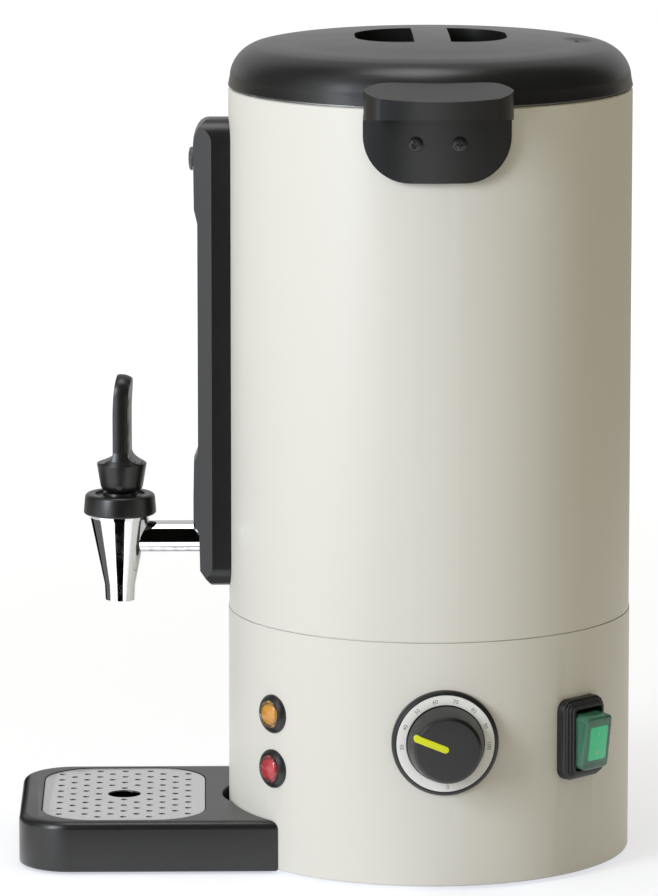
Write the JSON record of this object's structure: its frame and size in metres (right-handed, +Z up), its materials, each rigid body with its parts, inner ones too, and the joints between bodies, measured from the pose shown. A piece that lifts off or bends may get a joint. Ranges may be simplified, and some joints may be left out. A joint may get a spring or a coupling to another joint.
{
  "type": "hot water urn",
  "caption": "Tall cylindrical hot water urn with lift-off lid, two side grips, level gauge column, lever tap over a drip tray, and a base with dial, lamps and rocker switch.",
  "frame": {"origin": "on the urn's vertical axis, at the level of the surface it stands on", "axes": "+Z up; the tap and drip tray face -Y; the dial, switch and right handle face +X"},
  "size_m": [0.3, 0.3503, 0.47],
  "materials": {
    "painted_steel": "satin cream powder paint",
    "stainless": "brushed",
    "grille_steel": "fine brushed",
    "chrome": "polished",
    "aluminium": "machined",
    "element_sheath": "oxidised sheath",
    "copper": "drawn copper",
    "black_plastic": "satin moulded",
    "gloss_black": "semi-gloss moulded",
    "dark_plastic": "matte",
    "black_screw": "blackened steel",
    "rubber": "matte",
    "silicone": "translucent white silicone",
    "grey_plastic": "satin",
    "red_plastic": "gloss",
    "scale_silver": "satin with printed numbers",
    "pointer_yellow": "satin",
    "amber_lens": "moulded lens",
    "red_lens": "moulded lens",
    "green_rocker": "translucent cover",
    "clear_tube": "clear"
  },
  "bodies": {
    "urn": {"base_housing": "painted_steel", "base_plate": "stainless", "rubber_feet": "rubber", "base_screws": "stainless", "outer_shell": "painted_steel", "inner_vessel": "stainless", "heat_spreader": "aluminium", "heating_element": "element_sheath", "thermostat_body": "dark_plastic", "thermostat_bulb": "copper", "boil_dry_cutout": "dark_plastic", "terminal_block": "silicone", "cable_gland": "black_plastic", "gland_nut": "black_plastic", "dial_bezel": "gloss_black", "dial_scale_ring": "scale_silver", "lamp_bezels": "gloss_black", "amber_lens": "amber_lens", "red_lens": "red_lens", "lamp_bodies": "dark_plastic", "switch_body": "dark_plastic", "switch_frame": "black_plastic", "switch_boot": "rubber", "column_cover": "black_plastic", "sight_tube": "clear_tube", "tube_seals": "silicone", "gauge_tee": "stainless", "column_screw": "stainless", "column_cap": "grey_plastic", "tap_body": "chrome", "tap_shank": "chrome", "shank_gaskets": "silicone", "shank_nut": "stainless", "bonnet": "black_plastic", "tap_spring": "stainless", "right_handle": "black_plastic", "left_handle": "black_plastic", "handle_screws": "black_screw", "handle_backing_plates": "stainless"},
    "knob": {"knob": "gloss_black", "knob_pointer": "pointer_yellow", "thermostat_shaft": "stainless"},
    "rocker": {"rocker": "green_rocker"},
    "reset_button": {"reset_button": "red_plastic"},
    "valve": {"valve_stem": "stainless", "seat_cup": "silicone"},
    "lever": {"lever": "black_plastic", "lever_pin": "stainless"},
    "tray": {"tray_body": "black_plastic", "tray_feet": "rubber"},
    "grille": {"tray_grille": "grille_steel"},
    "lid_seal": {"lid_seal": "silicone"},
    "lid": {"lid_shell": "black_plastic", "lid_liner": "black_plastic", "lid_ring": "stainless", "lid_screws": "stainless"}
  },
  "joints": [
    {"name": "lid_lift", "type": "slide", "parent": "urn", "child": "lid_seal", "axis": [0, 0, 1], "range_m": [0, 0.12]},
    {"name": "lid_turn", "type": "hinge", "parent": "lid_seal", "child": "lid", "pos_m": [0, 0, 0.44], "axis": [0, 0, 1], "continuous": true},
    {"name": "stem_lift", "type": "slide", "parent": "urn", "child": "valve", "axis": [0, 0, 1], "range_m": [0, 0.005], "deforming": ["tap_spring"]},
    {"name": "tap_lever", "type": "hinge", "parent": "valve", "child": "lever", "pos_m": [0, -0.1771, 0.2116], "axis": [1, 0, 0], "range_deg": [0, 40], "stiffness_Nm_per_rad": 0.25, "springref_deg": -20.05},
    {"name": "knob_turn", "type": "hinge", "parent": "urn", "child": "knob", "pos_m": [0.11988, 0.00544, 0.0847], "axis": [0.999, 0.0454, 0], "range_deg": [-161, 115]},
    {"name": "rocker_tilt", "type": "hinge", "parent": "urn", "child": "rocker", "pos_m": [0.08309, 0.08309, 0.0815], "axis": [-0.7071, 0.7071, 0], "range_deg": [-14, 0]},
    {"name": "reset_press", "type": "slide", "parent": "urn", "child": "reset_button", "axis": [0, 0, 1], "range_m": [0, 0.0015], "stiffness_N_per_m": 600, "springref_m": -0.001},
    {"name": "tray_slide", "type": "slide", "parent": "urn", "child": "tray", "axis": [0, -1, 0], "range_m": [0, 0.12]},
    {"name": "grille_lift", "type": "slide", "parent": "tray", "child": "grille", "axis": [0, 0, 1], "range_m": [0, 0.1]}
  ],
  "couplings": [
    {"joint": "stem_lift", "follows": "tap_lever", "m_per_rad": 0.007162}
  ]
}
